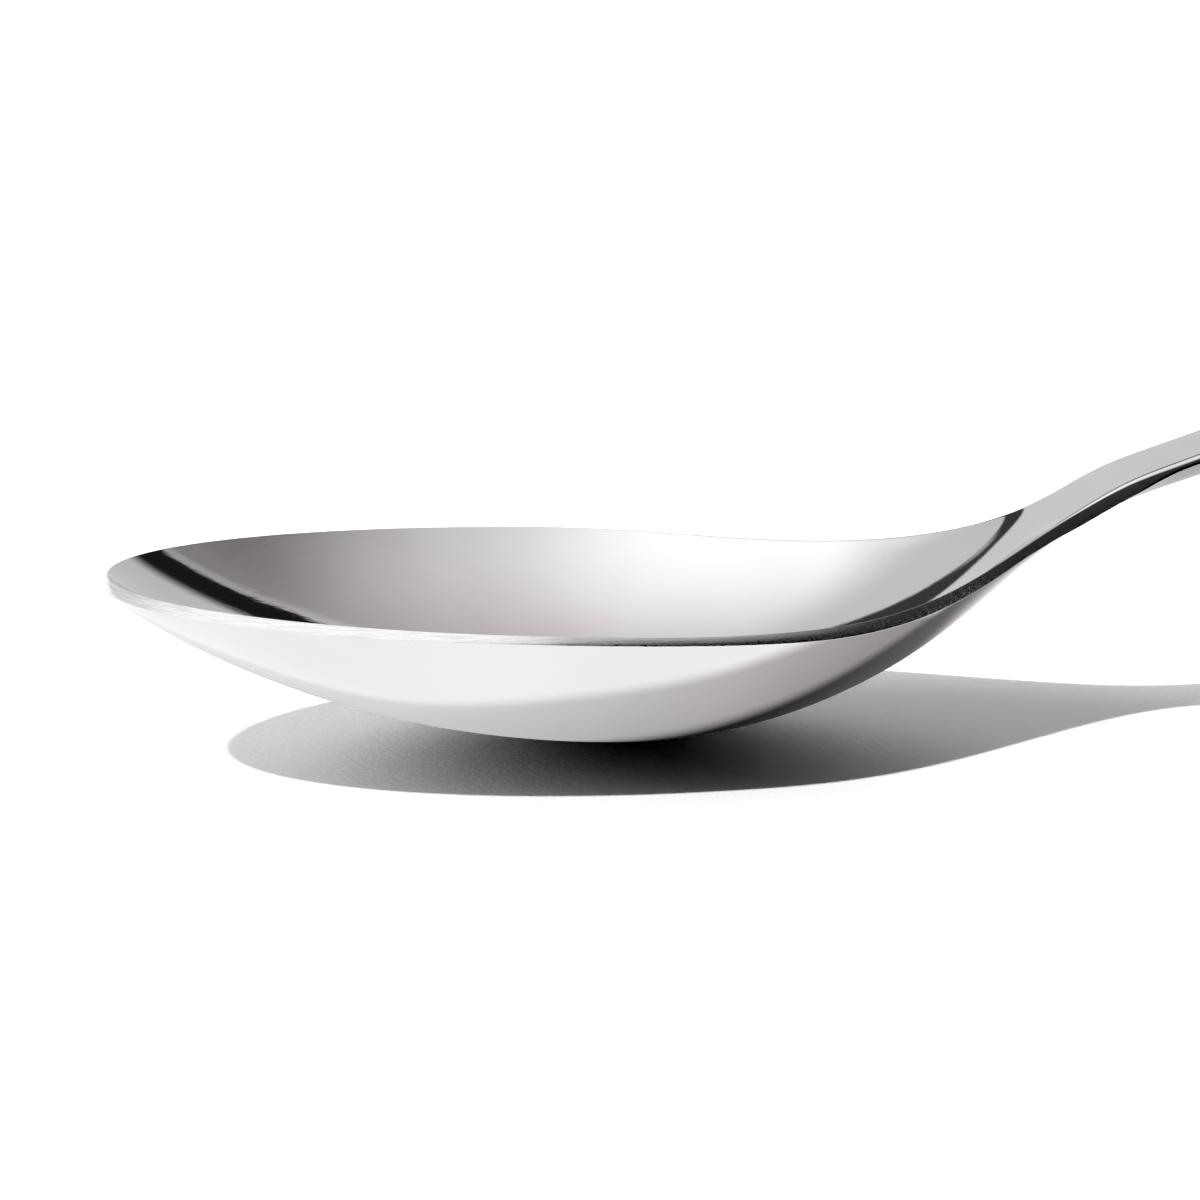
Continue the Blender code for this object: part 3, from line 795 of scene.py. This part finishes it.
# %% [markdown]
# ## Set resin
# Inside the handle the tang sits in cast resin, filled with fine mineral powder. It is matt, a little
# mottled and has a few pores. One flat colour could do, because no one sees it until the handle is opened,
# but then it should look like what it is.

# %% The resin core
RESIN_DARK, RESIN_LIGHT = (0.30, 0.265, 0.21, 1.0), (0.40, 0.355, 0.29, 1.0)
PORE_PAINTED_SHADE = (0.20, 0.17, 0.13, 1.0)
MOTTLE_SCALE, PORE_SCALE, RESIN_RELIEF = 420.0, 900.0, 6e-5
RESIN_HAZE, MOTTLE_HAZE = 0.62, 0.2


def set_resin():
    """Mottled resin: cloudy colour, painted shade in pores where cells are small, a fine bump from both."""
    material, shader, start = empty_material("set_resin")
    place = object_place(start)
    mottle = start.node("TexNoise", None, {"Vector": place, "Scale": MOTTLE_SCALE, "Detail": 5.0})
    pores = start.node("TexVoronoi", None, {"Vector": place, "Scale": PORE_SCALE}).step(0.12, 0.3)
    # The pores are pits in the bump; their darker colour is painted shade in them.
    colour = pores.mix(PORE_PAINTED_SHADE, mottle.step(0.3, 0.7).mix(RESIN_DARK, RESIN_LIGHT))
    height = mottle * 0.4 + pores
    bump = start.node("Bump", None, {"Height": height, "Strength": 0.6, "Distance": RESIN_RELIEF})
    feed(shader, Base_Color=colour, Roughness=RESIN_HAZE + MOTTLE_HAZE * mottle, Normal=bump)
    return material


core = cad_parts["handle_core"]
core.data.materials.clear()
core.data.materials.append(set_resin())
print("the core is set resin")

# %% [markdown]
# ## Camera
# The photograph looks along the table from a low stand with a long lens, with the spoon turned a little away.
# The camera could be placed by eye, but its height, turn and distance were worked out from the rim and the
# shadow, so they are written here as they are.

# %% Camera at the photograph's angle
VIEW_ELEVATION = math.radians(12.20)
VIEW_TURN = math.radians(16.06)
VIEW_DISTANCE = 0.865
LOOK_RIGHT, LOOK_UP = -0.0026, 0.0137
LENS = 240.15

right = Vector((math.cos(VIEW_TURN), -math.sin(VIEW_TURN), 0.0))
away = Vector((math.sin(VIEW_TURN), math.cos(VIEW_TURN), 0.0))
up = Vector((0.0, 0.0, 1.0))
forward = away * math.cos(VIEW_ELEVATION) - up * math.sin(VIEW_ELEVATION)
camera = bpy.data.objects.new("camera", bpy.data.cameras.new("camera"))
camera.data.lens = LENS
camera.location = right * LOOK_RIGHT + up * LOOK_UP - forward * VIEW_DISTANCE
camera.rotation_euler = forward.to_track_quat("-Z", "Y").to_euler()
bpy.context.scene.collection.objects.link(camera)
bpy.context.scene.camera = camera
print("camera at", [round(value, 4) for value in camera.location])

# %% [markdown]
# ## Floor and key light
# The spoon lies on a sheet of white paper, and one lamp far up on the left draws its shadow. A sun lamp gives
# the same shadow as a distant studio lamp, with its size as an angle. The lamp itself is kept out of the
# reflections, because in the photograph a soft box hides it. More light would whiten the paper, but the spoon
# would get it as well, so only the paper's colour is lifted, and only where the camera looks at it.

# %% A lamp from the left
KEY_FROM = right * -0.72 - away * 0.01 + up
KEY_WIDTH = math.radians(2.5)
KEY_STRENGTH = 2.6

key = bpy.data.objects.new("key_lamp", bpy.data.lights.new("key_lamp", "SUN"))
key.data.energy = KEY_STRENGTH
key.data.angle = KEY_WIDTH
key.rotation_euler = KEY_FROM.to_track_quat("Z", "Y").to_euler()
key.visible_glossy = False
bpy.context.scene.collection.objects.link(key)
print(f"key lamp {math.degrees(KEY_FROM.angle(up)):.0f} degrees from straight up")

# %% [markdown]
# ## What the steel sees of the paper
# The steel mirrors the paper too. In the photograph it was lit for that from the front left: a wide oval of
# half shade lies under the bowl, a little warm on its right, with a dark core further right, bright paper
# past the core and soft shade under the stem. A second lamp would draw its shadow into the picture as well,
# so this shade and light are painted: what mirrored rays find on the paper is a glow written here, as ovals
# and strips with soft edges. Places are metres.

# %% Painted shade on the paper, for mirrored rays
WHITE, WARM_SHADE, WARM_X = (1.0, 1.0, 1.0, 1.0), (1.03, 0.985, 0.965, 1.0), (-0.02, 0.02)
LIT_PAPER = 1.143
SHADE_OVAL, SHADE_SOFT = (-0.0024, 0.0200, 0.0544, 0.0429, -0.637), 0.035
SHADE_BY_REACH, SHADE_BY_X, SHADE_LEAST = 0.68, -6.9, 0.02
CORE_OVAL, CORE_SOFT = (0.0500, 0.0335, 0.0700, 0.0296, 0.645), 0.055
CORE_LEVEL, CORE_BY_X, CORE_BY_Y, CORE_SPAN = 0.015, 2.9, 2.5, (0.01, 0.5)
PAST_CORE_X, PAST_CORE_Y = (0.035, 0.050), (0.0, 0.026)
STEM_LEVEL, STEM_BY_Y, STEM_MOST = 0.46, 6.0, 0.66
STEM_X, STEM_Y = (0.062, 0.074), (0.075, 0.045)


def between(value, low, high):
    """The value, kept from low to high."""
    return value.math("MINIMUM", value.math("MAXIMUM", value, low), high)


def oval_reach(x, y, oval):
    """Distance from an oval's middle: 1 on its edge. The oval is its middle, two half axes and a turn."""
    middle_x, middle_y, long, wide, turned = oval
    from_x, from_y = x - middle_x, y - middle_y
    along = (from_x * math.cos(turned) + from_y * math.sin(turned)) / long
    across = (from_y * math.cos(turned) - from_x * math.sin(turned)) / wide
    return x.math("SQRT", along * along + across * across)


def painted_mirror_shade(x, y):
    """Painted shade: bright paper covered in turn by a shade, its dark core, light past it and the stem's
    shade.

    The shade grows with the reach from its middle and falls with x. The core grows with x and y, and the
    stem's shade with y.
    """
    reach = oval_reach(x, y, SHADE_OVAL)
    in_shade = reach.step(1.0 + SHADE_SOFT, 1.0 - SHADE_SOFT)
    in_core = oval_reach(x, y, CORE_OVAL).step(1.0 + CORE_SOFT, 1.0 - CORE_SOFT)
    shade = x.math("MAXIMUM", SHADE_BY_REACH * reach + SHADE_BY_X * x, SHADE_LEAST)
    core = between(CORE_LEVEL + CORE_BY_X * x + CORE_BY_Y * y, *CORE_SPAN)
    stem = x.math("MINIMUM", STEM_LEVEL + STEM_BY_Y * y, STEM_MOST)
    level = over(over(LIT_PAPER, in_shade, shade), in_core, core)
    level = over(level, x.step(*PAST_CORE_X) * y.step(*PAST_CORE_Y), LIT_PAPER)
    level = over(level, x.step(*STEM_X) * y.step(*STEM_Y), stem)
    tint = (in_shade * x.step(*WARM_X)).mix(WHITE, WARM_SHADE)
    return x.node("VectorMath", {"operation": "SCALE"}, {0: tint, "Scale": level})


print("the shade under the bowl is written down")

# %% White paper
FLOOR_SIZE = 12.0
PAPER, PAPER_SHADE = (0.985, 0.983, 0.98, 1.0), (0.955, 0.953, 0.95, 1.0)
GRAIN_SCALE, GRAIN_DEPTH = 1250.0, 0.9e-4
CAMERA_LIFT = 0.34


def white_paper():
    """Matt paper: two close whites and a fine bump from a small noise. Mirrored rays see painted shade
    instead.
    """
    material, shader, start = empty_material("white_paper")
    place = object_place(start)
    grain = start.node("TexNoise", None,
                       {"Vector": place, "Scale": GRAIN_SCALE, "Detail": 3.0, "Roughness": 0.6})
    bump = start.node("Bump", None, {"Height": grain, "Strength": 1.0, "Distance": GRAIN_DEPTH})
    by_camera, by_steel = (start.node("LightPath", output=f"Is {ray} Ray") for ray in ("Camera", "Glossy"))
    white = grain.step(0.35, 0.65).mix(PAPER_SHADE, PAPER)
    lifted = {0: white, "Scale": 1.0 + CAMERA_LIFT * by_camera}
    white = start.node("VectorMath", {"operation": "SCALE"}, lifted)
    feed(shader, Base_Color=white, Roughness=0.9, Normal=bump)
    shader.inputs["Specular IOR Level"].default_value = 0.0

    x, y = (start.node("SeparateXYZ", None, {0: place}, output=axis) for axis in (0, 1))
    # Painted shade and light: a glow that mirrored rays see in place of the lit paper.
    painted_shade_glow = start.node("Emission", None, {"Color": painted_mirror_shade(x, y), "Strength": 1.0})
    paper = Socket(material.node_tree, shader.outputs[0])
    seen = start.node("MixShader", None, {0: by_steel, 1: paper, 2: painted_shade_glow})
    material.node_tree.links.new(seen.socket, material.node_tree.nodes["Material Output"].inputs["Surface"])
    return material


corners = 0.5 * FLOOR_SIZE * np.array([[-1, -1, 0], [1, -1, 0], [1, 1, 0], [-1, 1, 0]])
sheet = bpy.data.meshes.new("paper_floor")
sheet.from_pydata(corners.tolist(), [], [(0, 1, 2, 3)])
floor = bpy.data.objects.new("paper_floor", sheet)
bpy.context.scene.collection.objects.link(floor)
sheet.materials.append(white_paper())
print(f"a sheet of white paper, {FLOOR_SIZE:.0f} m wide")

# %% [markdown]
# ## The studio round the spoon
# Polished steel has almost no colour of its own. What shows is the room. Overhead hangs a soft box that
# glows towards the front left and has a brighter far edge, with a dimmer panel at its left. Behind it are a
# dark gap and, lower, a wall of white paper. A white card stands on the left, runs round to the front and
# fades there. The rest of the front dims downwards, and the right is dark and a little warm. Panels could be
# hung round the spoon, but then they would get into other views. So the room is written into the world, as
# brightness over direction: right and away for one step up, and turns and rises in degrees.

# %% Directions in the room
LEAST_UP = 0.03

world = bpy.data.worlds.new("studio")
bpy.context.scene.world = world
world.use_nodes = True
start = Socket(world.node_tree, None)
toward = start.node("TexCoord")


def part_along(axis):
    """How far a direction goes along an axis."""
    return start.node("VectorMath", {"operation": "DOT_PRODUCT"}, {0: toward, 1: axis}, output=1)


def bell(value, middle, width):
    """One at the middle, falling as e to the minus the square of the distance in widths."""
    reach = (value - middle) / width
    return start.math("EXPONENT", 0.0 - reach * reach)


def past(value, first):
    """How far a value is past the first one, and zero before it."""
    return start.math("MAXIMUM", value - first, 0.0)


to_right, to_away, to_up = part_along(right), part_along(away), part_along(up)
height = start.math("MAXIMUM", to_up, LEAST_UP)
u, v = to_right / height, to_away / height
turn = start.math("ARCTAN2", to_right, to_away) * math.degrees(1.0)
front_turn = start.math("ARCTAN2", to_right, 0.0 - to_away) * math.degrees(1.0)
rise = start.math("ARCSINE", to_up) * math.degrees(1.0)
print("turns count from behind the spoon, front turns from before it")

# %% Overhead: the box with its glow and bright far edge, and the dimmer panel at its left
BOX_LEVEL, BOX_RIGHT, BOX_AWAY, BOX_LEAST = -0.29, -0.27, 0.80, 0.1
BOX_U, BOX_V = (-1.2, 1.4), (-0.7, 0.6)
GLOW, GLOW_RIGHT, GLOW_AWAY, GLOW_WIDE, GLOW_LONG = 2.32, -0.32, -1.05, 2.40, 1.32
PANEL, PANEL_EDGE, INTO_BOX = 0.685, math.radians(-31.0), (-0.60, -0.32)
FAR_EDGE, FAR_EDGE_SLOPE, FAR_CORNER, FAR_CORNER_SLOPE = 0.50, 0.27, 0.78, 0.7
FRINGE, FRINGE_V, FRINGE_U = 0.14, (-0.16, -0.04), (0.2, 0.6)

box_u, box_v = between(u, *BOX_U), between(v, *BOX_V)
box = BOX_LEVEL + BOX_RIGHT * box_u + BOX_AWAY * box_v
box = box + GLOW * bell(box_u, GLOW_RIGHT, GLOW_WIDE) * bell(box_v, GLOW_AWAY, GLOW_LONG)
into_box = (u * math.cos(PANEL_EDGE) + v * math.sin(PANEL_EDGE)).step(*INTO_BOX)
overhead = over(PANEL, into_box, start.math("MAXIMUM", box, BOX_LEAST))
past_box = v - (FAR_EDGE + FAR_EDGE_SLOPE * past(u, 0.0) + FAR_CORNER_SLOPE * past(u, FAR_CORNER))
overhead = overhead + FRINGE * past_box.step(*FRINGE_V) * u.step(*FRINGE_U)
print("the soft box hangs overhead")

# %% Behind: the dark gap past the box, and the paper wall under it
GAP_LEFT, GAP_RIGHT, GAP_TURN = 0.045, 0.010, (-20.0, 20.0)
WALL_LEFT, WALL_RIGHT, WALL_TURN = 0.75, 0.62, (-30.0, 30.0)
WALL_TOP, WALL_TOP_FALL, WALL_TOP_RISE, WALL_TOP_SOFT = 32.0, 0.15, 0.23, (-1.0, 1.5)
WALL_END, WALL_END_LEAN, WALL_END_RISE = (36.8, 27.5), 0.5, 29.0
PAST_BOX = (0.0, 0.08)

gap = over(GAP_LEFT, turn.step(*GAP_TURN), GAP_RIGHT)
paper_wall = over(WALL_LEFT, turn.step(*WALL_TURN), WALL_RIGHT)
wall_top = WALL_TOP - WALL_TOP_FALL * turn + WALL_TOP_RISE * past(turn, 0.0)
wall_end = (turn + WALL_END_LEAN * (rise - WALL_END_RISE)).step(*WALL_END)
behind = over(gap, (wall_top - rise).step(*WALL_TOP_SOFT) * wall_end, paper_wall)
studio = over(overhead, past_box.step(*PAST_BOX), behind)
print("paper wall and dark gap stand behind")

# %% Right, left and front: the dark room and the white card
ROOM_DARK, DARK_U, DARK_TURN, DARK_TURN_END = 0.03, (1.06, 1.2), (40.0, 48.0), (118.0, 100.0)
CARD, CARD_FADE, CARD_TURN, CARD_TOP = 1.22, (-50.0, -135.0), (-50.0, -58.0), (47.0, 43.0)
CARD_END, CARD_FOOT, CARD_FOOT_SLOPE, CARD_FOOT_SOFT = (33.0, 11.0), 8.0, 0.4, (-3.0, 3.0)
ROOM_GAIN, ROOM_RISE = 0.025, 16.5
FRONT_RIGHT, FRONT_LEFT, FRONT_TOP = (104.0, 84.0), (-90.0, -70.0), (52.0, 44.0)
FRONT_TOP_SLOPE, FRONT_TOP_TURN = 0.33, 45.0

dark_share = u.step(*DARK_U) * turn.step(*DARK_TURN) * turn.step(*DARK_TURN_END)
card = over(CARD, front_turn.step(*CARD_FADE), WALL_LEFT)
studio = over(studio, dark_share, ROOM_DARK)
studio = over(studio, turn.step(*CARD_TURN) * rise.step(*CARD_TOP), card)
card_foot = (rise - CARD_FOOT - CARD_FOOT_SLOPE * front_turn).step(*CARD_FOOT_SOFT)
front = over(ROOM_DARK + ROOM_GAIN * past(rise, ROOM_RISE), front_turn.step(*CARD_END) * card_foot, card)
front_top = (rise + FRONT_TOP_SLOPE * past(front_turn, FRONT_TOP_TURN)).step(*FRONT_TOP)
studio = over(studio, front_turn.step(*FRONT_RIGHT) * front_turn.step(*FRONT_LEFT) * front_top, front)
print("the card stands on the left, the right is dark")

# %% [markdown]
# ## Who sees what
# The steel sees that room. The paper is lit by two broad glows, one low behind and one on the left, which
# keep its shadow soft inside. The camera sees plain white behind the spoon. Three worlds could be swapped by
# hand, but Light Path tells the rays apart, so one world serves all three.

# %% Fill for the paper, the room for steel, white for the camera
FILL_BEHIND, FILL_BEHIND_TURN, FILL_BEHIND_WIDE = 31.0, -7.0, 26.0
FILL_LEFT, FILL_LEFT_TURN, FILL_LEFT_WIDE, FILL_LEFT_RISE = 8.3, -76.0, 18.5, 24.0
FILL_HIGH, FILL_AWAY = 14.6, 0.15
WARM_ROOM, WARM_TURN, WARM_TURN_END = (1.025, 0.972, 0.985, 1.0), (30.0, 60.0), (140.0, 100.0)

fill = FILL_BEHIND * bell(turn, FILL_BEHIND_TURN, FILL_BEHIND_WIDE) * bell(rise, 0.0, FILL_HIGH)
on_left = bell(turn, FILL_LEFT_TURN, FILL_LEFT_WIDE) * bell(rise, FILL_LEFT_RISE, FILL_HIGH)
fill = fill + FILL_LEFT * on_left + FILL_AWAY * past(to_away, 0.0)
by_camera, by_steel = (start.node("LightPath", output=f"Is {ray} Ray") for ray in ("Camera", "Glossy"))
level = over(over(fill, by_steel, studio), by_camera, 1.0)
on_right = by_steel * turn.step(*WARM_TURN) * turn.step(*WARM_TURN_END)
light = start.node("VectorMath", {"operation": "SCALE"}, {0: on_right.mix(WHITE, WARM_ROOM), "Scale": level})
background = world.node_tree.nodes["Background"]
world.node_tree.links.new(light.socket, background.inputs["Color"])
bpy.context.scene.view_settings.view_transform = "Standard"
bpy.context.scene.cycles.caustics_reflective = False
print("the studio is set")
